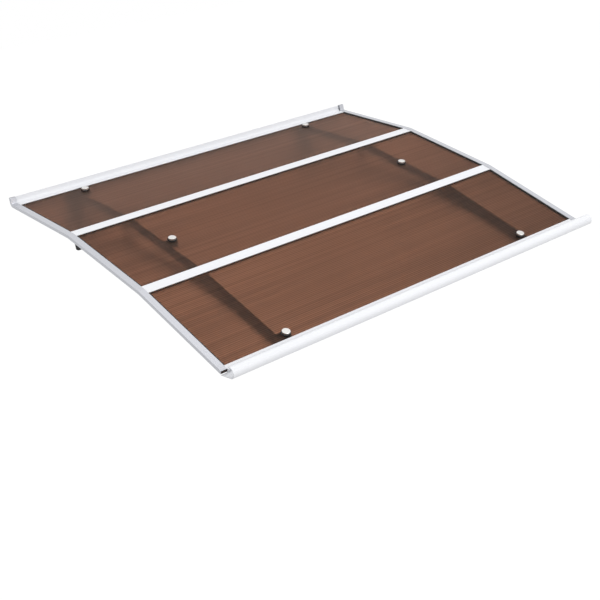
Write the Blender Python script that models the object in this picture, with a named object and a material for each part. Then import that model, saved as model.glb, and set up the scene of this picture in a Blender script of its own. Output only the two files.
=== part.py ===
# Door canopy: three twin-wall polycarbonate panels in an aluminium frame on two brackets.
# Metres, +Z up. The wall is the plane y = 0 and the canopy reaches out towards -Y.
# The origin lies on the wall, at mid width, where the middle plane of the rear panel meets it.
import math

import bmesh
import bpy
from mathutils import Matrix, Vector

# Overall sizes
WIDTH = 1.200                  # over the outer faces of the side trims
REAR_BAY = 0.322               # wall flange to the middle of the rear cross bar, along the sheet
MIDDLE_BAY = 0.331             # middle of one cross bar to the middle of the other
FRONT_BAY = 0.327              # middle of the front cross bar to the front edge of the sheet
PITCHES = (10.0, 18.1, 24.75)  # slope of the rear, middle and front panel, in degrees

# Clearances
GAP = 0.0003                   # between faces that touch on the real canopy
END_GAP = 0.0005               # between a sheet's edge and the bottom of its slot

# Twin-wall sheet
SHEET_T = 0.005                # over both skins
SKIN_T = 0.00045               # one skin
RIB_T = 0.00045                # one rib
RIB_PITCH = 0.0057             # rib to rib

# Extruded bars
LIP_T = 0.0015                 # lips and flanges of the bars
BAR_W = 0.030                  # cross bar, over its lips
BAR_WEB_T = 0.002              # upright wall in the middle of a cross bar
LIP_GAP = 0.0008               # gap between the sheet and the lip above it
FLANGE_T = 0.002               # wall flange
FLANGE_UP = 0.021              # wall flange above the sheet's middle plane
FLANGE_DOWN = 0.019            # wall flange below it
FOOT = 0.024                   # upper lip of the wall bar, from the flange
LOWER_FOOT = 0.018             # lower lip of the wall bar, from the flange
COVE_R = 0.007                 # hollow between the flange and the upper lip
REAR_EDGE = 0.0105             # rear edge of the sheet from the flange, clear of the trims' bend
EDGE_R = 0.0005                # rounding of the bars' outer edges

# Gutter
GUTTER_LIP = 0.0125            # slot depth on the front edge of the sheet
TROUGH_W = 0.0386              # bottom of the slot to the centre of the round front
NOSE_R = 0.014                 # round front, outside
NOSE_RISE = 0.0085             # centre of the round front above the front edge of the sheet
CURL = 112.0                   # how far the round front curls, in degrees up from straight ahead

# Side trims
TRIM_LIP = 0.017               # cover over the end of the sheet
TRIM_LIP_GAP = 0.0020          # gap between the sheet and the trim's upper lip
TRIM_T = 0.001                 # wall of the trim
TRIM_BEND_R = 0.009            # bend at the wall, on the sheet's middle plane
TRIM_PROUD = 0.001             # upright end of the trim above the wall flange

# Brackets
WEB_X = 0.4140                 # inner face of the arm, from mid width
WEB_T = 0.006                  # thickness of the arm
BOLT_X = 0.398                 # disc bolts, from mid width
WEB_DROP = 0.0008              # top edge of the arm below the sheet
NOTCH_GAP = 0.0006             # round the bars that cross the arm
NOSE_DEPTH = 0.035             # front end of the arm
NOSE_BACK = 0.0155             # front end of the arm behind the front edge of the sheet
ARM_BOTTOM = 0.168             # level part of the arm's lower edge, below the origin
ARM_LEVEL = 0.262              # reach of the level part from the wall
ARM_W = 0.024                  # upper and lower limb of the arm
POST_W = 0.032                 # upright limb at the wall
STRUT_W = 0.012                # slanting rib
STRUT_BEHIND_BAR = 0.0565      # top of the rib behind the rear cross bar
STRUT_LEAN = 16.5              # rib from upright, in degrees
WINDOW_END = 0.008             # height of the front window at its narrow end
WINDOW_R = 0.006               # corners of the windows
LUG_L = 0.029                  # lug, along the slope
LUG_REACH = 0.013              # lug beyond the bolt's axis
LUG_T = 0.009                  # thickness of a lug
LUG_R = 0.010                  # corners of a lug
BOLT_FROM_FOOT = 0.026         # rear bolt in front of the wall bar's upper lip
MIDDLE_BOLT = 0.1675           # middle bolt in front of the rear cross bar's middle
BOLT_FROM_GUTTER = 0.0177      # front bolt behind the gutter's upper lip

# Wall plates
PLATE_W = 0.052
PLATE_T = 0.005
PLATE_BELOW_ARM = 0.008        # bottom of the plate below the arm's lower edge
PLATE_R = 0.006
FIN_T = 0.006                  # fin that the arm is bolted to
FIN_DEPTH = 0.034              # fin in front of the plate
FIN_SHORT = 0.012              # fin shorter than the plate at each end
FIN_R = 0.008
ANCHOR_D = 0.0085              # holes for the wall anchors
ANCHOR_SIDE = 0.0170           # holes to each side of the fin's middle
ANCHOR_END = 0.022             # holes from the ends of the plate
JOINT_BOLTS = 3                # hex bolts through each fin
JOINT_BOLT_END = 0.034         # first and last hex bolt from the ends of the plate

# Fasteners
HEAD_D = 0.0205                # disc head
HEAD_T = 0.0045
HEAD_EDGE = 0.0006             # broken edge of the disc head
DISC_BOLT_D = 0.006
DISC_BOLT_L = 0.016
WASHER_D = 0.024
WASHER_T = 0.003
SHEET_HOLE_GAP = 0.001         # between a disc bolt and the sheet round it
THREAD_GAP = 0.0003            # between a bolt and its tapped hole
HEX_AF = 0.010                 # hex head across its flats
HEX_T = 0.004
HEX_BOLT_D = 0.006
HEX_BOLT_L = 0.012
HEX_HOLE_GAP = 0.0003          # between a hex bolt and its hole in the fin

ROUND_SEGMENTS = 32
SMALL_SEGMENTS = 20
ARC_STEP = 15.0                # degrees for each segment of a small arc
ARCH_STEP = 0.030              # length of each segment of the arm's long arc
PLATE_BOTTOM = ARM_BOTTOM + PLATE_BELOW_ARM
SHEET_HOLE_R = DISC_BOLT_D / 2 + SHEET_HOLE_GAP

for old in list(bpy.data.objects):
    bpy.data.objects.remove(old, do_unlink=True)


# Materials
def material(name, colour, roughness, metallic=0.0, transmission=0.0):
    mat = bpy.data.materials.new(name)
    mat.use_nodes = True
    shader = mat.node_tree.nodes["Principled BSDF"]
    shader.inputs["Base Color"].default_value = (*colour, 1.0)
    shader.inputs["Roughness"].default_value = roughness
    shader.inputs["Metallic"].default_value = metallic
    shader.inputs["Transmission Weight"].default_value = transmission
    mat.diffuse_color = (*colour, 1.0)
    return mat


BROWN_SHEET = material("brown_polycarbonate", (0.23, 0.11, 0.07), 0.25, transmission=0.6)
WHITE_BAR = material("white_coated_aluminium", (0.86, 0.88, 0.92), 0.35)
SILVER_TRIM = material("silver_aluminium", (0.72, 0.72, 0.79), 0.35, metallic=0.6)
BLACK_PAINT = material("dark_bracket_paint", (0.03, 0.03, 0.035), 0.5)
STEEL = material("stainless_steel", (0.72, 0.72, 0.74), 0.3, metallic=1.0)
RUBBER = material("black_rubber", (0.02, 0.02, 0.02), 0.8)


# Points in the side view are (y, z) pairs
def forward(pitch):
    angle = math.radians(pitch)
    return Vector((-math.cos(angle), -math.sin(angle)))


def upward(pitch):
    angle = math.radians(pitch)
    return Vector((-math.sin(angle), math.cos(angle)))


BAYS = (REAR_BAY, MIDDLE_BAY, FRONT_BAY)
KNOTS = [Vector((-FLANGE_T, 0.0))]
for bay, slope in zip(BAYS, PITCHES):
    KNOTS.append(KNOTS[-1] + forward(slope) * bay)


def on_panel(index, along, above):
    """The side-view point `along` a panel from its rear knot and `above` its middle plane."""
    return KNOTS[index] + forward(PITCHES[index]) * along + upward(PITCHES[index]) * above


def rounded(corners):
    """A closed outline; each corner is (y, z, radius), and a radius above 0 makes an arc there."""
    outline = []
    count = len(corners)
    for i, (y, z, radius) in enumerate(corners):
        here = Vector((y, z))
        if radius <= 0.0:
            outline.append(here)
            continue
        before = Vector(corners[i - 1][:2]) - here
        after = Vector(corners[(i + 1) % count][:2]) - here
        opening = before.angle(after)
        reach = radius / math.tan(opening / 2)
        reach = min(reach, 0.45 * before.length, 0.45 * after.length)
        radius = reach * math.tan(opening / 2)
        centre = here + (before.normalized() + after.normalized()).normalized() * radius / math.sin(opening / 2)
        first = here + before.normalized() * reach - centre
        turn = first.angle_signed(here + after.normalized() * reach - centre)
        steps = max(2, round(math.degrees(abs(turn)) / ARC_STEP))
        for k in range(steps + 1):
            outline.append(centre + Matrix.Rotation(-turn * k / steps, 2) @ first)
    return outline


def arc(centre, radius, start, end, step=ARC_STEP):
    """Points on a circle; angles in degrees, 0 is straight ahead (-Y) and 90 is up."""
    steps = max(2, round(abs(end - start) / step))
    points = []
    for k in range(steps + 1):
        angle = math.radians(start + (end - start) * k / steps)
        points.append(centre + Vector((-math.cos(angle), math.sin(angle))) * radius)
    return points


# Mesh helpers
def finish(bm, name, mat, place=Matrix.Identity(4), smooth=None):
    bmesh.ops.remove_doubles(bm, verts=bm.verts, dist=1e-6)
    bmesh.ops.recalc_face_normals(bm, faces=bm.faces)
    mesh = bpy.data.meshes.new(name)
    bm.to_mesh(mesh)
    bm.free()
    mesh.materials.append(mat)
    if smooth:
        mesh.shade_smooth()
        mesh.set_sharp_from_angle(angle=math.radians(smooth))
    obj = bpy.data.objects.new(name, mesh)
    bpy.context.scene.collection.objects.link(obj)
    obj.parent = ROOT
    obj.matrix_local = place
    return obj


def prism(outlines, x0, x1):
    """A solid along X from a side-view outline; further outlines are holes through it."""
    bm = bmesh.new()
    edges = []
    for outline in outlines:
        ring = [bm.verts.new((x0, p[0], p[1])) for p in outline]
        for a, b in zip(ring, ring[1:] + ring[:1]):
            edges.append(bm.edges.new((a, b)))
    bmesh.ops.triangle_fill(bm, edges=edges, use_beauty=True, use_dissolve=False)
    faces = list(bm.faces)
    moved = bmesh.ops.extrude_face_region(bm, geom=faces, use_keep_orig=True)
    verts = [v for v in moved["geom"] if isinstance(v, bmesh.types.BMVert)]
    bmesh.ops.translate(bm, verts=verts, vec=(x1 - x0, 0.0, 0.0))
    return bm


def turned(profile, segments, closed=False):
    """A solid turned about Z from (radius, z) points; a closed profile makes a ring."""
    bm = bmesh.new()
    verts = [bm.verts.new((r, 0.0, z)) for r, z in profile]
    pairs = list(zip(verts, verts[1:]))
    if closed:
        pairs.append((verts[-1], verts[0]))
    edges = [bm.edges.new(pair) for pair in pairs]
    bmesh.ops.spin(bm, geom=verts + edges, cent=(0, 0, 0), axis=(0, 0, 1), angle=math.tau,
                   steps=segments, use_merge=True, use_duplicate=False)
    return bm


def cutter(bm, name, place=Matrix.Identity(4)):
    obj = finish(bm, name, STEEL, place)
    obj.hide_render = True
    obj.display_type = "WIRE"
    return obj


def combine(target, tool, operation):
    modifier = target.modifiers.new(tool.name, "BOOLEAN")
    modifier.operation = operation
    modifier.solver = "EXACT"
    modifier.object = tool


def panel_place(index, x, along, above=0.0):
    """A frame on a panel: +X along the width, -Y down the slope, +Z out of the sheet."""
    point = on_panel(index, along, above)
    return Matrix.Translation((x, point.x, point.y)) @ Matrix.Rotation(math.radians(PITCHES[index]), 4, "X")


ROOT = bpy.data.objects.new("door_canopy", None)
bpy.context.scene.collection.objects.link(ROOT)

PANELS = ("rear", "middle", "front")
SIDES = (("left", -1), ("right", 1))
BOLTS = (
    ("rear", 0, FOOT / math.cos(math.radians(PITCHES[0])) + BOLT_FROM_FOOT),
    ("middle", 1, MIDDLE_BOLT),
    ("front", 2, FRONT_BAY - GUTTER_LIP - BOLT_FROM_GUTTER),
)


# Sheet panels: two skins joined by ribs that run along the width
def sheet_panel(index):
    name = PANELS[index]
    starts = (REAR_EDGE, BAR_WEB_T / 2 + END_GAP, BAR_WEB_T / 2 + END_GAP)
    ends = (BAR_WEB_T / 2 + END_GAP, BAR_WEB_T / 2 + END_GAP, 0.0)
    start = starts[index]
    end = BAYS[index] - ends[index]
    half = SHEET_T / 2
    cells = round((end - start - RIB_T) / RIB_PITCH)
    pitch = (end - start - RIB_T) / cells
    outlines = [[(-start, -half), (-end, -half), (-end, half), (-start, half)]]
    for k in range(cells):
        near = start + RIB_T + k * pitch
        far = near + pitch - RIB_T
        low = -half + SKIN_T
        high = half - SKIN_T
        outlines.append([(-near, low), (-far, low), (-far, high), (-near, high)])
    half_width = WIDTH / 2 - TRIM_T - END_GAP
    sheet = finish(prism(outlines, -half_width, half_width), f"sheet_{name}", BROWN_SHEET,
                   panel_place(index, 0.0, 0.0))
    for label, panel, along in BOLTS:
        if panel != index:
            continue
        for side, sign in SIDES:
            drill = bmesh.new()
            bmesh.ops.create_cone(drill, cap_ends=True, segments=SMALL_SEGMENTS, depth=SHEET_T * 3,
                                  radius1=SHEET_HOLE_R, radius2=SHEET_HOLE_R)
            hole = cutter(drill, f"cut_sheet_{label}_{side}", panel_place(index, sign * BOLT_X, along))
            combine(sheet, hole, "DIFFERENCE")


# Cross bars: straight H profiles; the sheets drop away to each side by half the kink
def cross_bar(name, knot):
    half_kink = math.radians(PITCHES[knot] - PITCHES[knot - 1]) / 2
    reach = BAR_W / 2
    web = BAR_WEB_T / 2
    up = SHEET_T / 2 + GAP
    down = SHEET_T / 2 + reach * math.sin(half_kink) + GAP
    outline = rounded([
        (reach, up, 0), (reach, up + LIP_T, EDGE_R), (-reach, up + LIP_T, EDGE_R), (-reach, up, 0),
        (-web, up, 0), (-web, -down, 0),
        (-reach, -down, 0), (-reach, -down - LIP_T, EDGE_R), (reach, -down - LIP_T, EDGE_R), (reach, -down, 0),
        (web, -down, 0), (web, up, 0),
    ])
    half_length = WIDTH / 2 - TRIM_LIP - GAP
    mean_pitch = (PITCHES[knot] + PITCHES[knot - 1]) / 2
    place = Matrix.Translation((0.0, *KNOTS[knot])) @ Matrix.Rotation(math.radians(mean_pitch), 4, "X")
    finish(prism([outline], -half_length, half_length), name, WHITE_BAR, place)
    return down + LIP_T


# Wall bar: an upright flange with two lips that hold the rear edge of the sheet
def wall_bar():
    slope = math.tan(math.radians(PITCHES[0]))
    half = SHEET_T / 2
    over = half + LIP_GAP
    under = half + GAP

    def lip(reach, above):
        """The point on a lip at this distance from the flange and height above the sheet's middle."""
        return (-FLANGE_T - reach, above / math.cos(math.radians(PITCHES[0])) - reach * slope)

    outline = rounded([
        (0.0, -FLANGE_DOWN, EDGE_R), (-FLANGE_T, -FLANGE_DOWN, EDGE_R),
        (*lip(0.0, -under - LIP_T), 0), (*lip(LOWER_FOOT, -under - LIP_T), EDGE_R), (*lip(LOWER_FOOT, -under), 0),
        (*lip(0.0, -under), 0), (*lip(0.0, over), 0),
        (*lip(FOOT, over), 0), (*lip(FOOT, over + LIP_T), EDGE_R), (*lip(0.0, over + LIP_T), COVE_R),
        (-FLANGE_T, FLANGE_UP, EDGE_R), (0.0, FLANGE_UP, EDGE_R),
    ])
    half_length = WIDTH / 2 - TRIM_LIP - GAP
    finish(prism([outline], -half_length, half_length), "wall_bar", WHITE_BAR, smooth=40)


# Gutter bar: a slot on the front edge of the sheet, a trough and a round front that curls back
def gutter_bar():
    half = SHEET_T / 2
    over = half + LIP_GAP
    under = half + GAP
    lip_start = FRONT_BAY - GUTTER_LIP
    slot_end = FRONT_BAY + END_GAP
    slot_back = slot_end + LIP_T
    edge = on_panel(2, FRONT_BAY, 0.0)
    centre = Vector((edge.x - TROUGH_W, edge.y + NOSE_RISE))
    inner = NOSE_R - LIP_T
    floor_in = centre.y - inner
    floor_out = centre.y - NOSE_R
    back_low = on_panel(2, slot_back, -under)
    lip_low = on_panel(2, slot_end, -under - LIP_T)
    front_in = arc(centre, inner, -90.0, CURL)
    front_out = arc(centre, NOSE_R, -90.0, CURL)
    outline = [
        on_panel(2, lip_start, over), on_panel(2, slot_end, over), on_panel(2, slot_end, -under),
        on_panel(2, lip_start, -under), on_panel(2, lip_start, -under - LIP_T), lip_low,
        Vector((lip_low.x, floor_out)),
        *front_out,
        *reversed(front_in),
        Vector((back_low.x, floor_in)),
        back_low,
        on_panel(2, slot_back, over + LIP_T - EDGE_R), on_panel(2, slot_back - EDGE_R, over + LIP_T),
        on_panel(2, lip_start, over + LIP_T),
    ]
    gutter = finish(prism([outline], -WIDTH / 2, WIDTH / 2), "gutter_bar", WHITE_BAR, smooth=40)
    trim_over = SHEET_T / 2 + TRIM_LIP_GAP + TRIM_T
    trim_under = SHEET_T / 2 + GAP + TRIM_T
    for side, sign in SIDES:
        # the slot is cut back at each end, so that the side trim drains into the trough
        start = sign * (WIDTH / 2 - TRIM_LIP - GAP)
        stop = sign * (WIDTH / 2 + TRIM_LIP)
        corners = [
            on_panel(2, lip_start - GUTTER_LIP, -trim_under - LIP_T),
            on_panel(2, slot_back + GAP, -trim_under - LIP_T),
            on_panel(2, slot_back + GAP, trim_over + LIP_T),
            on_panel(2, lip_start - GUTTER_LIP, trim_over + LIP_T),
        ]
        notch = cutter(prism([corners], min(start, stop), max(start, stop)), f"cut_gutter_{side}")
        combine(gutter, notch, "DIFFERENCE")


# Side trims: a C section swept along the sheets and up the wall
def side_trim(side, sign):
    over = SHEET_T / 2 + TRIM_LIP_GAP + TRIM_T
    under = SHEET_T / 2 + GAP + TRIM_T
    section = [
        (0.0, -under + EDGE_R), (EDGE_R, -under), (TRIM_LIP, -under), (TRIM_LIP, -under + TRIM_T),
        (TRIM_T, -under + TRIM_T), (TRIM_T, over - TRIM_T), (TRIM_LIP, over - TRIM_T), (TRIM_LIP, over),
        (EDGE_R, over), (0.0, over - EDGE_R),
    ]
    # stations are (point on the middle plane, pitch there, stretch of the section across a mitre)
    turn = 90.0 - PITCHES[0]
    wall_y = -under
    corner_along = (FLANGE_T + wall_y) / -math.cos(math.radians(PITCHES[0]))
    corner = on_panel(0, corner_along, 0.0)
    tangent = TRIM_BEND_R * math.tan(math.radians(turn / 2))
    top = Vector((wall_y, FLANGE_UP + TRIM_PROUD))
    bend_start = corner + Vector((0.0, tangent))
    bend_centre = bend_start + Vector((-TRIM_BEND_R, 0.0))
    stations = [(top, 90.0, 1.0)]
    steps = 8
    for k in range(steps + 1):
        pitch = 90.0 - turn * k / steps
        stations.append((bend_centre - upward(pitch) * TRIM_BEND_R, pitch, 1.0))
    for knot in (1, 2):
        mean = (PITCHES[knot] + PITCHES[knot - 1]) / 2
        half_kink = math.radians(PITCHES[knot] - PITCHES[knot - 1]) / 2
        stations.append((KNOTS[knot], mean, 1.0 / math.cos(half_kink)))
    stations.append((on_panel(2, FRONT_BAY, 0.0), PITCHES[2], 1.0))

    bm = bmesh.new()
    rings = []
    for point, pitch, stretch in stations:
        ring = []
        for inward, above in section:
            spot = point + upward(pitch) * above * stretch
            ring.append(bm.verts.new((-sign * inward, spot.x, spot.y)))
        rings.append(ring)
    for ring, after in zip(rings, rings[1:]):
        for i in range(len(section)):
            j = (i + 1) % len(section)
            bm.faces.new((ring[i], ring[j], after[j], after[i]))
    for ring in (rings[0], rings[-1]):
        for corners in ((1, 2, 3, 4), (5, 6, 7, 8), (0, 1, 4, 5, 8, 9)):
            bm.faces.new([ring[i] for i in corners])
    finish(bm, f"side_trim_{side}", SILVER_TRIM, Matrix.Translation((sign * WIDTH / 2, 0.0, 0.0)), smooth=30)


# The arm's edges, as heights above a distance from the wall
def sheet_line(y, below):
    """Height at y of the line that runs this far below the sheet's middle plane."""
    for index in range(3):
        start = on_panel(index, 0.0, 0.0)
        end_y = KNOTS[index + 1].x
        if y >= end_y or index == 2:
            slope = math.radians(PITCHES[index])
            return start.y - (start.x - y) * math.tan(slope) - below / math.cos(slope)
    return 0.0


def arch_circle():
    """Centre and radius of the arc that leaves the level lower edge smoothly and ends at the nose."""
    nose = on_panel(2, FRONT_BAY - NOSE_BACK, -WEB_TOP - NOSE_DEPTH)
    reach = -ARM_LEVEL - nose.x
    drop = -ARM_BOTTOM - nose.y
    radius = (reach ** 2 + drop ** 2) / (2 * drop)
    return Vector((-ARM_LEVEL, -ARM_BOTTOM - radius)), radius


WEB_TOP = SHEET_T / 2 + GAP + WEB_DROP
ARCH_CENTRE, ARCH_RADIUS = arch_circle()


def arch(y, inside=0.0):
    """Height at y of the arm's lower edge, or of a line this far inside it."""
    out = max(0.0, ARCH_CENTRE.x - y)
    return ARCH_CENTRE.y + math.sqrt((ARCH_RADIUS + inside) ** 2 - out ** 2)


def arch_run(y_far, y_near, inside=0.0):
    """Points on the lower edge between two distances from the wall, from the far one, without the ends."""
    bend_end = min(y_near, -ARM_LEVEL)
    if y_far >= bend_end:
        return []
    count = max(1, round((bend_end - y_far) / ARCH_STEP))
    run = []
    for k in range(1, count):
        y = y_far + (bend_end - y_far) * k / count
        run.append((y, arch(y, inside), 0))
    if y_near > -ARM_LEVEL:
        run.append((-ARM_LEVEL, arch(-ARM_LEVEL, inside), 0))
    return run


def crossing(start, direction, curve):
    """Where a line from start meets a curve z = curve(y), found by halving."""
    low, high = 0.0, 0.6
    sign = curve(start.x) - start.y
    for _ in range(60):
        middle = (low + high) / 2
        spot = start + direction * middle
        if (curve(spot.x) - spot.y) * sign > 0:
            low = middle
        else:
            high = middle
    return start + direction * low


def bar_notch(knot, depth):
    """Corners of the notch in the arm's top edge round a cross bar's lower lip."""
    pitch = (PITCHES[knot] + PITCHES[knot - 1]) / 2
    half_kink = math.radians(PITCHES[knot] - PITCHES[knot - 1]) / 2
    reach = BAR_W / 2 + NOTCH_GAP
    edge = WEB_TOP / math.cos(half_kink) + reach * math.tan(half_kink)
    low = depth + NOTCH_GAP
    back = KNOTS[knot] - forward(pitch) * reach
    front = KNOTS[knot] + forward(pitch) * reach
    return [
        (*(back - upward(pitch) * edge), 0),
        (*(back - upward(pitch) * low), 0),
        (*(front - upward(pitch) * low), 0),
        (*(front - upward(pitch) * edge), 0),
    ]


def arm_outline(bar_depths):
    rear = -PLATE_T - GAP
    lip_end = -FLANGE_T - LOWER_FOOT - NOTCH_GAP
    lip_under = SHEET_T / 2 + GAP + LIP_T + NOTCH_GAP
    nose_top = on_panel(2, FRONT_BAY - NOSE_BACK, -WEB_TOP)
    nose_low = on_panel(2, FRONT_BAY - NOSE_BACK, -WEB_TOP - NOSE_DEPTH)
    corners = [
        (rear, sheet_line(rear, lip_under), 0),
        (lip_end, sheet_line(lip_end, lip_under), 0),
        (lip_end, sheet_line(lip_end, WEB_TOP), 0),
        *bar_notch(1, bar_depths[0]),
        *bar_notch(2, bar_depths[1]),
        (*nose_top, 0.002),
        (*nose_low, 0.008),
        *arch_run(nose_low.x, rear),
        (rear, -ARM_BOTTOM, 0),
    ]
    return rounded(corners)


def arm_windows():
    """The two openings in the arm, to each side of the slanting rib."""
    def top(y):
        return sheet_line(y, WEB_TOP + ARM_W)

    def bottom(y):
        return arch(y, ARM_W)

    post = -PLATE_T - GAP - POST_W
    lean = math.radians(STRUT_LEAN)
    rib = Vector((-math.sin(lean), -math.cos(lean)))
    side = Vector((math.cos(lean), -math.sin(lean))) * STRUT_W / 2
    head = on_panel(0, REAR_BAY - STRUT_BEHIND_BAR, 0.0)
    behind_top = crossing(head + side, rib, top)
    behind_low = crossing(behind_top + rib * 0.01, rib, bottom)
    ahead_top = crossing(head - side, rib, top)
    ahead_low = crossing(ahead_top + rib * 0.01, rib, bottom)
    rear_window = [
        (post, top(post), WINDOW_R), (*behind_top, WINDOW_R), (*behind_low, WINDOW_R),
        *arch_run(behind_low.x, post, ARM_W), (post, bottom(post), WINDOW_R),
    ]
    low, high = KNOTS[3].x, ahead_low.x
    for _ in range(60):
        middle = (low + high) / 2
        if top(middle) - bottom(middle) > WINDOW_END:
            high = middle
        else:
            low = middle
    end = high
    kinks = []
    for knot in (1, 2):
        pitch = (PITCHES[knot] + PITCHES[knot - 1]) / 2
        half_kink = math.radians(PITCHES[knot] - PITCHES[knot - 1]) / 2
        spot = KNOTS[knot] - upward(pitch) * (WEB_TOP + ARM_W) / math.cos(half_kink)
        if end < spot.x - WINDOW_END and spot.x < ahead_top.x:
            kinks.append((*spot, 0))
    front_window = [
        (*ahead_top, WINDOW_R), *kinks, (end, top(end), WINDOW_R), (end, bottom(end), WINDOW_R),
        *arch_run(end, ahead_low.x, ARM_W), (*ahead_low, WINDOW_R),
    ]
    return rounded(rear_window), rounded(front_window)


def joint_bolt_spots():
    """Side-view places of the hex bolts that join the arm and its wall plate."""
    first = -FLANGE_DOWN - GAP - JOINT_BOLT_END
    last = -PLATE_BOTTOM + JOINT_BOLT_END
    y = -PLATE_T - GAP - POST_W / 2
    return [(y, first + (last - first) * k / (JOINT_BOLTS - 1)) for k in range(JOINT_BOLTS)]


def round_bar(diameter, length, segments=SMALL_SEGMENTS):
    bm = bmesh.new()
    bmesh.ops.create_cone(bm, cap_ends=True, segments=segments, depth=length,
                          radius1=diameter / 2, radius2=diameter / 2)
    return bm


TURN_TO_X = Matrix.Rotation(math.radians(90), 4, "Y")


# Bracket arm: a plate with two windows, notches for the bars and three tapped lugs
def bracket_arm(side, sign, bar_depths):
    inner, outer = sign * WEB_X, sign * (WEB_X + WEB_T)
    arm = finish(prism([arm_outline(bar_depths)], min(inner, outer), max(inner, outer)),
                 f"bracket_arm_{side}", BLACK_PAINT)
    margin = WEB_T
    for label, window in zip(("rear", "front"), arm_windows()):
        x0 = sign * (WEB_X - margin)
        x1 = sign * (WEB_X + WEB_T + margin)
        tool = cutter(prism([window], min(x0, x1), max(x0, x1)), f"cut_window_{label}_{side}")
        combine(arm, tool, "DIFFERENCE")
    for label, index, along in BOLTS:
        tip = BOLT_X - LUG_REACH
        root = WEB_X + WEB_T / 2
        lug = bmesh.new()
        bmesh.ops.create_cube(lug, size=1.0)
        bmesh.ops.scale(lug, verts=lug.verts, vec=(root - tip, LUG_L, LUG_T))
        corners = [e for e in lug.edges
                   if abs(e.verts[0].co.z - e.verts[1].co.z) > LUG_T / 2 and e.verts[0].co.x * sign < 0]
        bmesh.ops.bevel(lug, geom=corners, offset=LUG_R, segments=6, profile=0.5, affect="EDGES", material=-1)
        place = panel_place(index, sign * (tip + root) / 2, along, -SHEET_T / 2 - GAP - LUG_T / 2)
        combine(arm, cutter(lug, f"add_lug_{label}_{side}", place), "UNION")
        thread = round_bar(DISC_BOLT_D + 2 * THREAD_GAP, LUG_T * 3)
        place = panel_place(index, sign * BOLT_X, along, -SHEET_T / 2 - GAP - LUG_T / 2)
        combine(arm, cutter(thread, f"cut_lug_{label}_{side}", place), "DIFFERENCE")
    for number, (y, z) in enumerate(joint_bolt_spots(), 1):
        thread = round_bar(HEX_BOLT_D + 2 * THREAD_GAP, WEB_T * 3)
        place = Matrix.Translation((sign * (WEB_X + WEB_T / 2), y, z)) @ TURN_TO_X
        combine(arm, cutter(thread, f"cut_joint_{number}_{side}", place), "DIFFERENCE")


# Wall plate: a plate against the wall with a fin along the inner face of the arm
def wall_plate(side, sign):
    top = -FLANGE_DOWN - GAP
    middle_x = WEB_X + WEB_T / 2
    height = PLATE_BOTTOM + top
    plate = bmesh.new()
    bmesh.ops.create_cube(plate, size=1.0)
    bmesh.ops.scale(plate, verts=plate.verts, vec=(PLATE_W, PLATE_T, height))
    corners = [e for e in plate.edges if abs(e.verts[0].co.y - e.verts[1].co.y) > PLATE_T / 2]
    bmesh.ops.bevel(plate, geom=corners, offset=PLATE_R, segments=5, profile=0.5, affect="EDGES", material=-1)
    place = Matrix.Translation((sign * middle_x, -PLATE_T / 2, top - height / 2))
    body = finish(plate, f"wall_plate_{side}", BLACK_PAINT, place)

    fin_back = -PLATE_T / 2
    fin_front = -PLATE_T - FIN_DEPTH
    fin = rounded([
        (fin_back, top - FIN_SHORT, 0), (fin_front, top - FIN_SHORT, FIN_R),
        (fin_front, -PLATE_BOTTOM + FIN_SHORT, FIN_R), (fin_back, -PLATE_BOTTOM + FIN_SHORT, 0),
    ])
    x0 = sign * (WEB_X - GAP)
    x1 = sign * (WEB_X - GAP - FIN_T)
    combine(body, cutter(prism([fin], min(x0, x1), max(x0, x1)), f"add_fin_{side}"), "UNION")
    for number, (y, z) in enumerate(joint_bolt_spots(), 1):
        place = Matrix.Translation((sign * (WEB_X - GAP - FIN_T / 2), y, z)) @ TURN_TO_X
        drill = round_bar(HEX_BOLT_D + 2 * HEX_HOLE_GAP, FIN_T * 3)
        combine(body, cutter(drill, f"cut_fin_{number}_{side}", place), "DIFFERENCE")
    for row, z in (("upper", top - ANCHOR_END), ("lower", -PLATE_BOTTOM + ANCHOR_END)):
        for column in (-1, 1):
            place = Matrix.Translation((sign * (middle_x + column * ANCHOR_SIDE), -PLATE_T / 2, z))
            place = place @ Matrix.Rotation(math.radians(90), 4, "X")
            tool = cutter(round_bar(ANCHOR_D, PLATE_T * 3), f"cut_anchor_{row}_{column + 2}_{side}", place)
            combine(body, tool, "DIFFERENCE")


# Disc bolt and its rubber washer
def disc_bolt(label, index, along, side, sign):
    place = panel_place(index, sign * BOLT_X, along, SHEET_T / 2 + GAP)
    washer = [
        (DISC_BOLT_D / 2 + THREAD_GAP, 0.0), (WASHER_D / 2, 0.0),
        (WASHER_D / 2, WASHER_T), (DISC_BOLT_D / 2 + THREAD_GAP, WASHER_T),
    ]
    finish(turned(washer, ROUND_SEGMENTS, closed=True), f"washer_{label}_{side}", RUBBER, place, smooth=40)
    seat = WASHER_T + GAP
    bolt = [
        (0.0, seat + HEAD_T), (HEAD_D / 2 - HEAD_EDGE, seat + HEAD_T), (HEAD_D / 2, seat + HEAD_T - HEAD_EDGE),
        (HEAD_D / 2, seat), (DISC_BOLT_D / 2, seat),
        (DISC_BOLT_D / 2, seat - DISC_BOLT_L + HEAD_EDGE), (DISC_BOLT_D / 2 - HEAD_EDGE, seat - DISC_BOLT_L),
        (0.0, seat - DISC_BOLT_L),
    ]
    finish(turned(bolt, ROUND_SEGMENTS), f"disc_bolt_{label}_{side}", STEEL, place, smooth=40)


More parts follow.
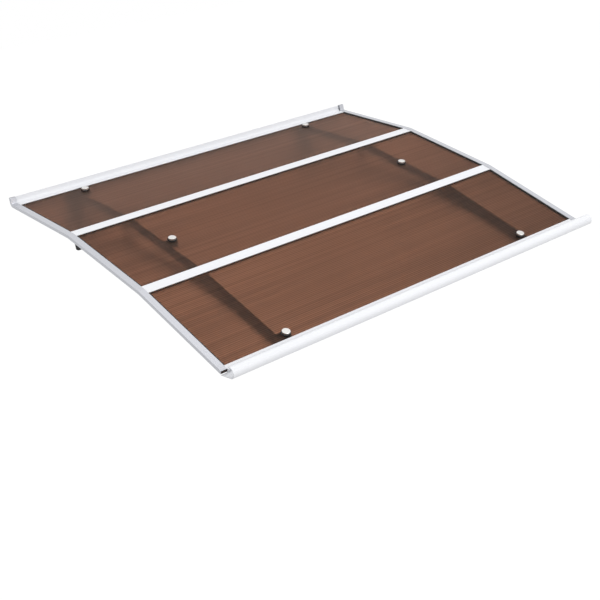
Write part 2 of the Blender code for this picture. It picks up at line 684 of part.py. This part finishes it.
# Hex bolt, with its head on the inner face of the fin
def hex_bolt(number, y, z, side, sign):
    head = bmesh.new()
    bmesh.ops.create_cone(head, cap_ends=True, segments=6, depth=HEX_T,
                          radius1=HEX_AF / math.sqrt(3), radius2=HEX_AF / math.sqrt(3))
    bmesh.ops.translate(head, verts=head.verts, vec=(0.0, 0.0, HEX_T / 2))
    seat = sign * (WEB_X - 2 * GAP - FIN_T)
    place = Matrix.Translation((seat, y, z)) @ Matrix.Rotation(math.radians(-90 * sign), 4, "Y")
    bolt = finish(head, f"hex_bolt_{number}_{side}", STEEL, place)
    shank = turned([(0.0, HEX_T / 2), (HEX_BOLT_D / 2, HEX_T / 2), (HEX_BOLT_D / 2, -HEX_BOLT_L + HEAD_EDGE),
                    (HEX_BOLT_D / 2 - HEAD_EDGE, -HEX_BOLT_L), (0.0, -HEX_BOLT_L)], SMALL_SEGMENTS)
    combine(bolt, cutter(shank, f"add_shank_{number}_{side}", place), "UNION")


for panel_index in range(3):
    sheet_panel(panel_index)
wall_bar()
BAR_DEPTHS = (cross_bar("cross_bar_rear", 1), cross_bar("cross_bar_front", 2))
gutter_bar()
for side_name, side_sign in SIDES:
    side_trim(side_name, side_sign)
    bracket_arm(side_name, side_sign, BAR_DEPTHS)
    wall_plate(side_name, side_sign)
    for bolt_label, bolt_panel, bolt_along in BOLTS:
        disc_bolt(bolt_label, bolt_panel, bolt_along, side_name, side_sign)
    for bolt_number, (bolt_y, bolt_z) in enumerate(joint_bolt_spots(), 1):
        hex_bolt(bolt_number, bolt_y, bolt_z, side_name, side_sign)
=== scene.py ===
# %% [markdown]
# A door canopy, from frame to finish
#
# A door canopy is a small roof on a wall. This one has three flat panels of brown twin-wall sheet, held
# by coated aluminium bars and two side trims, on two bracket arms. The panels step down like a shallow
# arch, and a gutter closes the front edge.
#
# The measured solids come in as a fixed frame. They could be modelled again here, but then the looks
# and the solids would drift apart. So the solids stay as they are, and this lesson gives each one its
# finish, adds the smallest parts, and sets up the light and the camera.

# %% Load the frame
import math

import bmesh
import bpy
from mathutils import Matrix, Vector


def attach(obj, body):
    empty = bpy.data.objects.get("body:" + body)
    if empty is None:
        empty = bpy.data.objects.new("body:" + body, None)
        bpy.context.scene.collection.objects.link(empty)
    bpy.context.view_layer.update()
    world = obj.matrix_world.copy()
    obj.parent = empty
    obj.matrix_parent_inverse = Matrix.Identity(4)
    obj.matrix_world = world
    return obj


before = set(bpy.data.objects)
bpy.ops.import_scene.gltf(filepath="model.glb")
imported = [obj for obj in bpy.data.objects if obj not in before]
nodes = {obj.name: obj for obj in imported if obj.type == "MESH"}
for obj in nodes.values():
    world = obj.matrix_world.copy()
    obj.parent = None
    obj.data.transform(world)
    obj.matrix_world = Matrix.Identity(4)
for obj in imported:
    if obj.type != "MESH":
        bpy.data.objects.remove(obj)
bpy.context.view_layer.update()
print("pieces in the frame:", len(nodes))


# %% [markdown]
# The camera stands in front of the canopy, to its left, and a little above it, and it is tilted about
# its own axis. Euler angles could describe that, but they hide which turn does what. Here an azimuth,
# an elevation and a roll build the three axes of the camera one after the other, so each can be changed
# by itself.

# %% The camera
PICTURE_WIDTH = 600.0
FOCAL_PIXELS = 1083.3
SENSOR_MM = 36.0
FAR_CLIP = 200.0
CAMERA_SPOT = Vector((-1.6955, -2.8103, 0.5253))
AZIMUTH = math.radians(-35.346)
ELEVATION = math.radians(17.652)
ROLL = math.radians(-9.791)

back = Vector((
    math.sin(AZIMUTH) * math.cos(ELEVATION),
    -math.cos(AZIMUTH) * math.cos(ELEVATION),
    math.sin(ELEVATION),
))
level_right = Vector((math.cos(AZIMUTH), math.sin(AZIMUTH), 0.0))
level_up = back.cross(level_right)
right = math.cos(ROLL) * level_right + math.sin(ROLL) * level_up
up = math.cos(ROLL) * level_up - math.sin(ROLL) * level_right

lens = bpy.data.cameras.new("camera")
lens.sensor_width = SENSOR_MM
lens.lens = FOCAL_PIXELS / PICTURE_WIDTH * SENSOR_MM
lens.clip_end = FAR_CLIP
camera = bpy.data.objects.new("camera", lens)
camera.matrix_world = Matrix.Translation(CAMERA_SPOT) @ Matrix((right, up, back)).transposed().to_4x4()
scene = bpy.context.scene
scene.collection.objects.link(camera)
bpy.context.scene.camera = camera
print("lens in millimetres:", round(lens.lens, 2))


# %% [markdown]
# A node tree in code is easier to read when a node is made, set and wired in one line. Blender's own
# calls take a line for each of these steps. So this helper adds a node, fills its sockets by name, and
# links whatever socket it is given. Where inputs of a node share a name, their number is given instead,
# such as n0 for the first.

# %% A helper for node trees
def add_node(tree, kind, settings=None, **sockets):
    """A new node; settings are its own properties, sockets are inputs by name (spaces as _)."""
    node = tree.nodes.new(kind)
    for name, value in (settings or {}).items():
        setattr(node, name, value)
    for name, value in sockets.items():
        wire(tree, node, name.replace("_", " "), value)
    return node


def wire(tree, node, name, value):
    """Sets one input of a node, or links it when the value is another node's output."""
    numbered = name[0] == "n" and name[1:].isdigit()
    socket = node.inputs[int(name[1:]) if numbered else name]
    if isinstance(value, bpy.types.NodeSocket):
        tree.links.new(value, socket)
    else:
        socket.default_value = value


# %% Helpers for numbers and colours
def math_node(tree, operation, *values):
    """The result of one step of arithmetic; each value is a number or a socket."""
    node = add_node(tree, "ShaderNodeMath", {"operation": operation})
    for index, value in enumerate(values):
        wire(tree, node, f"n{index}", value)
    return node.outputs[0]


def ranged(tree, value, low, high):
    """Takes a value from the range 0 to 1 to the range low to high."""
    return add_node(tree, "ShaderNodeMapRange", Value=value, To_Min=low, To_Max=high).outputs[0]


def mix_colours(tree, factor, first, second):
    """A blend of two colours; factor 0 gives the first."""
    node = add_node(tree, "ShaderNodeMix", {"data_type": "RGBA"})
    # A Mix node has inputs for each kind of data. Its colours are numbers 6 and 7, and their result is 2.
    wire(tree, node, "n0", factor)
    wire(tree, node, "n6", first)
    wire(tree, node, "n7", second)
    return node.outputs[2]


# %% [markdown]
# The stage is a plain pale floor and an even white surrounding. A studio could be built from many
# lamps, but a canopy in daylight sees light from all round, so the world does most of the work.
#
# Both the world and the floor show white to the camera and to reflections, and a quieter light to
# everything else, so the background is bright without washing out the object.

# %% The surrounding
SKY_LIGHT = 0.80
WHITE = (1.0, 1.0, 1.0, 1.0)

scene.view_settings.view_transform = "Standard"


def seen_directly(tree):
    """1 for rays from the camera, a reflection or a clear surface; 0 for scattered light."""
    path = add_node(tree, "ShaderNodeLightPath").outputs
    first = math_node(tree, "MAXIMUM", path["Is Camera Ray"], path["Is Glossy Ray"])
    return math_node(tree, "MAXIMUM", first, path["Is Transmission Ray"])


world = bpy.data.worlds.new("daylight")
scene.world = world
world.use_nodes = True
tree = world.node_tree
tree.nodes.clear()
strength = math_node(tree, "MULTIPLY_ADD", seen_directly(tree), 1.0 - SKY_LIGHT, SKY_LIGHT)
sky = add_node(tree, "ShaderNodeBackground", Color=WHITE, Strength=strength)
add_node(tree, "ShaderNodeOutputWorld", Surface=sky.outputs[0])
print("light of the sky:", SKY_LIGHT)


# %% [markdown]
# The floor lies well below the canopy, where the ground would be. A curved backdrop could hide its far
# edge, but it would catch the lamps unevenly. A very large flat floor has its edge so far off that it
# doesn't show, and its glow makes it as white as the world.

# %% The floor
FLOOR_LEVEL = -2.2
FLOOR_HALF = 60.0
FLOOR_GREY = (0.62, 0.62, 0.62, 1.0)
FLOOR_GLOW = 1.16
FLOOR_GLOW_SHARE = 0.80

floor_mesh = bmesh.new()
bmesh.ops.create_grid(floor_mesh, x_segments=1, y_segments=1, size=FLOOR_HALF)
bmesh.ops.translate(floor_mesh, verts=floor_mesh.verts, vec=(0.0, 0.0, FLOOR_LEVEL))
floor_data = bpy.data.meshes.new("floor")
floor_mesh.to_mesh(floor_data)
floor_mesh.free()
floor = bpy.data.objects.new("floor", floor_data)
scene.collection.objects.link(floor)

pale = bpy.data.materials.new("pale_floor")
pale.use_nodes = True
tree = pale.node_tree
tree.nodes.clear()
matt = add_node(tree, "ShaderNodeBsdfDiffuse", Color=FLOOR_GREY)
bright = add_node(tree, "ShaderNodeEmission", Color=WHITE, Strength=FLOOR_GLOW)
share = math_node(tree, "MULTIPLY", seen_directly(tree), FLOOR_GLOW_SHARE)
blend = add_node(tree, "ShaderNodeMixShader", n0=share, n1=matt.outputs[0], n2=bright.outputs[0])
add_node(tree, "ShaderNodeOutputMaterial", Surface=blend.outputs[0])
floor_data.materials.append(pale)
print("floor in metres below the canopy:", -FLOOR_LEVEL)


# %% [markdown]
# Light that is even from all round leaves the forms flat. A sun lamp could give them a lit side, but
# its shadows would be hard. Two large square lamps, one above and one in front, give the forms a
# lighter and a darker side with soft edges.

# %% Two soft lamps
CANOPY_MIDDLE = (0.0, -0.5, -0.1)
LAMP_ABOVE = {"spot": (0.2, -1.2, 3.0), "side": 2.4, "watts": 24.0}
LAMP_FRONT = {"spot": (0.2, -3.8, 0.6), "side": 2.0, "watts": 36.0}


def soft_lamp(name, spot, side, watts):
    """A square lamp at spot that faces the canopy; side is in metres."""
    data = bpy.data.lights.new(name, "AREA")
    data.size = side
    data.energy = watts
    lamp = bpy.data.objects.new(name, data)
    aim = (Vector(spot) - Vector(CANOPY_MIDDLE)).to_track_quat("Z", "Y")
    lamp.matrix_world = Matrix.Translation(spot) @ aim.to_matrix().to_4x4()
    scene.collection.objects.link(lamp)
    print(name, "stands at", spot)


soft_lamp("lamp_above", **LAMP_ABOVE)
soft_lamp("lamp_front", **LAMP_FRONT)


# %% [markdown]
# Drawn metal and drawn plastic carry faint lines along the direction in which they left the die. They
# could be modelled, but they are far finer than the mesh. A noise that is stretched along one axis gives
# such lines, and as a group it can serve bars, trims and sheet, each with its own axis and spacing.

# %% Effect: lines left by the die
def new_group(name, inputs, outputs):
    """An empty node group; inputs are (name, kind, default), outputs are (name, kind)."""
    group = bpy.data.node_groups.new(name, "ShaderNodeTree")
    for label, kind, default in inputs:
        socket = group.interface.new_socket(label, in_out="INPUT", socket_type=kind)
        socket.default_value = default
    for label, kind in outputs:
        group.interface.new_socket(label, in_out="OUTPUT", socket_type=kind)
    return group, group.nodes.new("NodeGroupInput").outputs, group.nodes.new("NodeGroupOutput")


die_lines, given, result = new_group(
    "die_lines", [("Stretch", "NodeSocketVector", (1.0, 400.0, 400.0))], [("Lines", "NodeSocketFloat")],
)
place = add_node(die_lines, "ShaderNodeTexCoord").outputs["Object"]
stretched = add_node(
    die_lines, "ShaderNodeVectorMath", {"operation": "MULTIPLY"}, n0=place, n1=given["Stretch"],
)
streaks = add_node(die_lines, "ShaderNodeTexNoise", Vector=stretched.outputs[0], Scale=1.0, Detail=3.0)
wire(die_lines, result, "Lines", streaks.outputs[0])
print("nodes in die_lines:", len(die_lines.nodes))


# %% [markdown]
# Nothing that hangs outdoors is quite even. A slow change of tone and a fine speckle of dust keep a
# large face from looking like plain paint. Both could be painted by hand, but every finish here needs
# them in some strength, so one more group makes them from noise.

# %% Effect: weathering
DUST_COLOUR = (0.5, 0.47, 0.42, 1.0)
SPECKS_PER_METRE = 220.0
DUST_FROM, DUST_FULL = 0.2, 0.45

weathering, given, result = new_group(
    "weathering",
    [
        ("Colour", "NodeSocketColor", WHITE),
        ("Clouds Per Metre", "NodeSocketFloat", 4.0),
        ("Cloud Depth", "NodeSocketFloat", 0.1),
        ("Dust", "NodeSocketFloat", 0.1),
    ],
    [("Colour", "NodeSocketColor")],
)
place = add_node(weathering, "ShaderNodeTexCoord").outputs["Object"]
clouds = add_node(
    weathering, "ShaderNodeTexNoise", Vector=place, Scale=given["Clouds Per Metre"], Detail=4.0,
)
shift = math_node(weathering, "SUBTRACT", clouds.outputs[0], 0.5)
level = math_node(weathering, "MULTIPLY_ADD", shift, given["Cloud Depth"], 1.0)
toned = add_node(
    weathering, "ShaderNodeVectorMath", {"operation": "SCALE"}, n0=given["Colour"], Scale=level,
)
specks = add_node(
    weathering, "ShaderNodeTexNoise", Vector=place, Scale=SPECKS_PER_METRE, Detail=6.0, Roughness=0.7,
)
spread = math_node(weathering, "MULTIPLY", specks.outputs[0], clouds.outputs[0])
strong = add_node(weathering, "ShaderNodeMapRange", Value=spread, From_Min=DUST_FROM, From_Max=DUST_FULL)
mask = math_node(weathering, "MULTIPLY", strong.outputs[0], given["Dust"])
wire(weathering, result, "Colour", mix_colours(weathering, mask, toned.outputs[0], DUST_COLOUR))
print("nodes in weathering:", len(weathering.nodes))


# %% [markdown]
# Some things are placed along a panel's slope. World numbers could give their places, but those would
# mean nothing to a reader. A panel's own frame does better: X runs across it, Y up its slope, and Z away
# from its middle plane.

# %% The frame of each panel
SLOPE_START = (0.0, -0.002, 0.0)  # on the front of the wall bar's flange
BAYS = (0.322, 0.331, 0.327)      # length of the rear, middle and front slope
SLOPES = (10.0, 18.1, 24.75)      # in degrees

panels = []
corner = Vector(SLOPE_START)
for bay, slope in zip(BAYS, SLOPES):
    panels.append(Matrix.Translation(corner) @ Matrix.Rotation(math.radians(slope), 4, "X"))
    corner = panels[-1] @ Vector((0.0, -bay, 0.0))
print("front edge of the last panel:", [round(c, 4) for c in corner])


# %% [markdown]
# Inside a panel the two skins are joined by ribs, and the skin is darker where a rib meets it. One wave
# in world space would miss the ribs, because each panel slopes by its own angle. This one counts the ribs
# down each slope, and switches from panel to panel on the way to the front. Its inputs are the tone
# between two ribs and the tone over a rib.

# %% Effect: fine lines over the ribs
FIRST_RIB = (0.010725, 0.001725, 0.001725)     # middle of the first rib, down each slope
RIB_PITCH = (0.0057324, 0.0057465, 0.0057026)  # rib to rib

rib_lines, given, result = new_group(
    "rib_lines",
    [("Between Ribs", "NodeSocketFloat", 1.0), ("Over Ribs", "NodeSocketFloat", 1.0)],
    [("Tone", "NodeSocketFloat")],
)
place = add_node(rib_lines, "ShaderNodeTexCoord").outputs["Object"]
forward = add_node(rib_lines, "ShaderNodeSeparateXYZ", Vector=place).outputs["Y"]
count = 0.0
for panel, first, pitch in zip(panels, FIRST_RIB, RIB_PITCH):
    up_slope = panel.inverted()[1]
    reach = add_node(
        rib_lines, "ShaderNodeVectorMath", {"operation": "DOT_PRODUCT"}, n0=place, n1=tuple(up_slope[:3]),
    ).outputs["Value"]
    counted = math_node(rib_lines, "MULTIPLY_ADD", reach, -1.0 / pitch, (-up_slope[3] - first) / pitch)
    on_panel = math_node(rib_lines, "LESS_THAN", forward, panel.translation.y)
    step = math_node(rib_lines, "SUBTRACT", counted, count)
    count = math_node(rib_lines, "MULTIPLY_ADD", on_panel, step, count)
wave = math_node(rib_lines, "COSINE", math_node(rib_lines, "MULTIPLY", count, 2.0 * math.pi))
near_rib = math_node(rib_lines, "MULTIPLY_ADD", wave, 0.5, 0.5)
wire(rib_lines, result, "Tone", ranged(rib_lines, near_rib, given["Between Ribs"], given["Over Ribs"]))
print("nodes in rib_lines:", len(rib_lines.nodes))


# %% [markdown]
# Every finish is built in the same way: one Principled shader, a colour, and some fine detail that
# changes its roughness and its surface. Each could be written out in full, but short helpers keep the
# finishes alike and easy to compare.

# %% Helpers for materials
def new_finish(name, **principled):
    """A material with one Principled shader, its node tree and the shader."""
    finish = bpy.data.materials.new(name)
    finish.use_nodes = True
    tree = finish.node_tree
    tree.nodes.clear()
    shader = add_node(tree, "ShaderNodeBsdfPrincipled", **principled)
    add_node(tree, "ShaderNodeOutputMaterial", Surface=shader.outputs[0])
    return finish, tree, shader


def grouped(tree, group, **sockets):
    """A copy of an effect group in a material, with its own values."""
    node = tree.nodes.new("ShaderNodeGroup")
    node.node_tree = group
    for name, value in sockets.items():
        wire(tree, node, name.replace("_", " "), value)
    return node.outputs


def weathered(name, colour, clouds, depth, dust, **principled):
    """A finish in one colour, with some clouds per metre, their depth, and some dust."""
    finish, tree, shader = new_finish(name, **principled)
    aged = grouped(
        tree, weathering, Colour=colour, Clouds_Per_Metre=clouds, Cloud_Depth=depth, Dust=dust,
    )
    wire(tree, shader, "Base Color", aged["Colour"])
    return finish, tree, shader


# %% Helpers for fine detail
def grain(tree, scale):
    """An even noise on the object, finer with a larger scale."""
    place = add_node(tree, "ShaderNodeTexCoord").outputs["Object"]
    return add_node(tree, "ShaderNodeTexNoise", Vector=place, Scale=scale, Detail=2.0).outputs[0]


def roughen(tree, shader, detail, low, high):
    """Roughness that swings between low and high with the detail."""
    wire(tree, shader, "Roughness", ranged(tree, detail, low, high))


def emboss(tree, shader, detail, strength, distance):
    """A bump from the detail; distance is the height in metres of a detail of 1."""
    bump = add_node(tree, "ShaderNodeBump", Height=detail, Strength=strength, Distance=distance)
    wire(tree, shader, "Normal", bump.outputs[0])


def report(finish):
    """Prints how many nodes a finish has."""
    print(finish.name, "has", len(finish.node_tree.nodes), "nodes")


# %% [markdown]
# The panels are twin-wall polycarbonate: two thin skins with ribs between them, tinted brown right
# through. Alpha could fake the see-through look, but it would not tint what lies behind. Transmission
# tints each skin as the light passes. An index close to that of air, with some roughness, keeps sharp
# what touches the sheet and blurs what lies further below, as the real flutes do. The share that is not
# transmitted gives the brown of the plastic itself.
#
# The faces that look at the sky get a thin coat, for its sheen. The sides of the ribs are known by their
# normals, which point along the slope.

# %% Finish: brown twin-wall sheet
RIB_SIDE = 0.6   # a normal with more Y than this is on a rib
SKY_SIDE = 0.5   # a normal with more Z than this looks at the sky
SKY_COAT = 0.12

brown_sheet, tree, shader = new_finish(
    "brown_twin_wall",
    Transmission_Weight=0.96, IOR=1.07, Roughness=0.5, Coat_IOR=1.5, Coat_Roughness=0.08,
)
normal = add_node(tree, "ShaderNodeNewGeometry").outputs["Normal"]
facing = add_node(tree, "ShaderNodeSeparateXYZ", Vector=normal)
on_rib = math_node(tree, "GREATER_THAN", math_node(tree, "ABSOLUTE", facing.outputs["Y"]), RIB_SIDE)
looks_up = math_node(tree, "GREATER_THAN", facing.outputs["Z"], SKY_SIDE)
wire(tree, shader, "Coat Weight", math_node(tree, "MULTIPLY", looks_up, SKY_COAT))
report(brown_sheet)


# %% [markdown]
# The solids have the real flutes, but with one brown all over they would look like dyed glass. A drawn
# skin shows streaks along its flutes and fine lines over its ribs, so both effects vary the tint. The
# tint
# also carries painted light and shade: it is a little paler at the left and darker towards the front
# right corner, which a smooth step on X minus Y gives.

# %% The tint of the sheet, with painted light and shade
SKIN_TINT = (0.468, 0.322, 0.248, 1.0)
RIB_TINT = (0.75, 0.62, 0.55, 1.0)
PALE_STREAK, DEEP_STREAK = 1.5, 0.5
# Painted light and shade: the tint is a little paler at the left end and darker at the front right end.
SHADE_FROM, SHADE_TO = 0.7, 1.6  # X minus Y, in metres
PAINTED_LIGHT_END, PAINTED_SHADE_END = 1.03, 0.78

aged = grouped(tree, weathering, Colour=SKIN_TINT, Clouds_Per_Metre=2.5, Cloud_Depth=0.12, Dust=0.0)
lines = grouped(tree, die_lines, Stretch=(0.9, 240.0, 240.0))["Lines"]
streak = ranged(tree, lines, DEEP_STREAK, PALE_STREAK)
spot = add_node(tree, "ShaderNodeTexCoord").outputs["Object"]
spot = add_node(tree, "ShaderNodeSeparateXYZ", Vector=spot)
cornerwise = math_node(tree, "SUBTRACT", spot.outputs["X"], spot.outputs["Y"])
# Painted light and shade, as a smooth step from the left towards the front right corner.
painted_shade = add_node(
    tree, "ShaderNodeMapRange", {"interpolation_type": "SMOOTHSTEP"},
    Value=cornerwise, From_Min=SHADE_FROM, From_Max=SHADE_TO, To_Min=PAINTED_LIGHT_END, To_Max=PAINTED_SHADE_END,
)
ribbed = grouped(tree, rib_lines, Between_Ribs=1.3, Over_Ribs=0.7)["Tone"]
# The tint's scale: streaks, rib lines, and the painted light and shade towards the corner.
depth = math_node(tree, "MULTIPLY", math_node(tree, "MULTIPLY", streak, painted_shade.outputs[0]), ribbed)
tint_with_painted_shade = add_node(tree, "ShaderNodeVectorMath", {"operation": "SCALE"}, n0=aged["Colour"], Scale=depth)
wire(tree, shader, "Base Color", mix_colours(tree, on_rib, tint_with_painted_shade.outputs[0], RIB_TINT))
report(brown_sheet)


# %% [markdown]
# The bars are extruded aluminium with a white coat. One even white could do, but under glancing light
# the lines of the die show through a real coat. So the lines change its roughness and give it a very
# faint bump, and the white is slightly cool.

# %% Finish: white coated bars
white_bar, tree, shader = weathered(
    "white_coated_bar", (0.80, 0.81, 0.84, 1.0), clouds=5.0, depth=0.05, dust=0.04,
)
lines = grouped(tree, die_lines, Stretch=(1.5, 500.0, 500.0))["Lines"]
roughen(tree, shader, lines, low=0.28, high=0.44)
emboss(tree, shader, lines, strength=0.05, distance=0.0002)
report(white_bar)


# %% [markdown]
# The side trims are thinner, with a satin silver finish that is greyer than the bars. Full metal would
# mirror all that is round it, so the finish is half metal, which keeps it pale from every side. The
# lines run down the slope, so the same group is stretched along the other axes.

# %% Finish: satin side trims
satin_trim, tree, shader = weathered(
    "satin_side_trim", (0.55, 0.56, 0.60, 1.0), clouds=6.0, depth=0.06, dust=0.04, Metallic=0.5,
)
lines = grouped(tree, die_lines, Stretch=(1100.0, 2.0, 4.0))["Lines"]
roughen(tree, shader, lines, low=0.30, high=0.50)
emboss(tree, shader, lines, strength=0.10, distance=0.0002)
report(satin_trim)


# %% [markdown]
# The bracket arms and wall plates carry the load. From above they only show as dark shapes through the
# panels. A powder coat is never quite flat. Its skin could be shaped with displacement, but it is far
# finer than the mesh. So a fine noise gives it the skin of an orange, and the roughness follows it.

# %% Finish: dark powder coat
powder_coat, tree, shader = weathered(
    "dark_powder_coat", (0.020, 0.020, 0.022, 1.0), clouds=8.0, depth=0.2, dust=0.03,
)
peel = grain(tree, scale=900.0)
roughen(tree, shader, peel, low=0.38, high=0.58)
emboss(tree, shader, peel, strength=0.25, distance=0.0003)
report(powder_coat)


# %% [markdown]
# The bolts are stainless steel, turned on a lathe. A wave round each bolt's own axis could draw the
# rings that turning leaves, but a bolt head is so small that a fine grain looks the same. So the die
# lines serve here too, fine in X and Y and longer in Z. The washers under the heads are black rubber,
# which has only fine pores.

# %% Finishes: stainless steel and rubber
stainless, tree, shader = weathered(
    "turned_stainless", (0.74, 0.73, 0.71, 1.0), clouds=60.0, depth=0.1, dust=0.05, Metallic=1.0,
)
lines = grouped(tree, die_lines, Stretch=(900.0, 900.0, 60.0))["Lines"]
roughen(tree, shader, lines, low=0.22, high=0.42)
emboss(tree, shader, lines, strength=0.10, distance=0.0001)
report(stainless)

# The same black rubber finish also serves as painted shade: the dark strips beside the trims stand for
# the shadow in the gap there.
black_rubber, tree, shader = weathered(
    "black_rubber", (0.018, 0.017, 0.017, 1.0), clouds=80.0, depth=0.2, dust=0.04,
)
roughen(tree, shader, grain(tree, scale=1500.0), low=0.6, high=0.85)
report(black_rubber)


# %% [markdown]
# Each solid keeps its mesh, and only its material is exchanged. That could be done piece by piece, but
# the names of the pieces already say which finish they take, so one short table does the whole canopy.

# %% Dress the frame
FINISHES = {
    "sheet_": brown_sheet,
    "wall_bar": white_bar,
    "cross_bar": white_bar,
    "gutter_bar": white_bar,
    "side_trim": satin_trim,
    "bracket_arm": powder_coat,
    "wall_plate": powder_coat,
    "disc_bolt": stainless,
    "hex_bolt": stainless,
    "washer": black_rubber,
}
for name, piece in nodes.items():
    finish = next(value for start, value in FINISHES.items() if name.startswith(start))
    for slot in piece.material_slots:
        slot.material = finish
print("dressed pieces:", len(nodes))


# %% [markdown]
# Two kinds of small piece are left to add: dark strips of painted shade and tapping screws. They could be
# modelled by hand in the editor, but a script gives the same pieces each time. One helper rounds their
# edges, and one turns a bmesh into an object that moves with the canopy.

# %% Helpers for new pieces
def soften(mesh, edges, width):
    """A small round along some edges of a bmesh."""
    bmesh.ops.bevel(
        mesh, geom=edges, offset=width, offset_type="OFFSET", segments=2, profile=0.5,
        affect="EDGES", material=-1, clamp_overlap=True,
    )


def new_piece(name, mesh, finish):
    """An object that moves with the canopy, from a bmesh."""
    data = bpy.data.meshes.new(name)
    mesh.to_mesh(data)
    mesh.free()
    data.materials.append(finish)
    piece = bpy.data.objects.new(name, data)
    scene.collection.objects.link(piece)
    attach(piece, "root")
    print(name, "has", len(data.polygons), "faces")


# %% [markdown]
# A dark strip of black rubber beside each side trim is painted shade: it stands for the shadow in the gap
# between the trim and the sheets, and shows as a thin dark line beside the trim. One strip could be swept
# along all three slopes, but the cross bars interrupt it. So each panel has a straight strip on either
# side, a long cube with its long edges rounded.

# %% Painted shade: dark strips beside the trims
STRIP_FROM = (0.027, 0.0165, 0.0165)   # bare length at the top of each slope
STRIP_STOP = (0.0165, 0.0165, 0.0140)  # bare length at its bottom
STRIP_X = 0.58275
STRIP_W = 0.0065
STRIP_T = 0.0016
STRIP_ABOVE = 0.0035                   # its middle above the sheet's middle plane
STRIP_EDGE = 0.0005
LONG_EDGE = 0.1                        # longer edges than this run along a strip

# These strips are painted shade for the gap between each trim and the sheets.
shade_strips = bmesh.new()
for side in (-1, 1):
    for panel, bay, start, stop in zip(panels, BAYS, STRIP_FROM, STRIP_STOP):
        length = bay - start - stop
        middle = Matrix.Translation((side * STRIP_X, -start - length / 2, STRIP_ABOVE))
        size = Matrix.Diagonal((STRIP_W, length, STRIP_T, 1.0))
        bmesh.ops.create_cube(shade_strips, size=1.0, matrix=panel @ middle @ size)
long_edges = [edge for edge in shade_strips.edges if edge.calc_length() > LONG_EDGE]
soften(shade_strips, long_edges, STRIP_EDGE)
new_piece("painted_shade_strips", shade_strips, black_rubber)


# %% [markdown]
# Tapping screws pin the trims to the sheets from below. Each panel has two on either side, near its ends.
# A whole screw with its thread could be modelled, but only the heads can be seen. So each is a low
# cylinder, with a round recess in its outer face and a rounded rim. All the cylinders are made first,
# because cutting and rounding them in one step gives the same mesh in each run.

# %% Tapping screws under the trims
SCREW_X = 0.5915
SCREW_FROM_END = 0.08
SCREW_BELOW = 0.0039  # its seat below the sheet's middle plane
HEAD_SIDES = 16
HEAD_R = 0.0028
HEAD_H = 0.0018
HEAD_EDGE = 0.0006
RECESS_RIM = 0.0014
RECESS_DEPTH = 0.0008

screws = bmesh.new()
for side in (-1, 1):
    for panel, bay in zip(panels, BAYS):
        for along in (SCREW_FROM_END, bay - SCREW_FROM_END):
            middle = Matrix.Translation((side * SCREW_X, -along, -SCREW_BELOW - HEAD_H / 2))
            bmesh.ops.create_cone(
                screws, cap_ends=True, segments=HEAD_SIDES, radius1=HEAD_R, radius2=HEAD_R,
                depth=HEAD_H, matrix=panel @ middle,
            )
screws.normal_update()
outer_faces = [face for face in screws.faces if len(face.verts) == HEAD_SIDES and face.normal.z < 0]
rims = [edge for face in outer_faces for edge in face.edges]
bmesh.ops.inset_individual(screws, faces=outer_faces, thickness=RECESS_RIM, depth=-RECESS_DEPTH)
soften(screws, rims, HEAD_EDGE)
new_piece("trim_screws", screws, stainless)
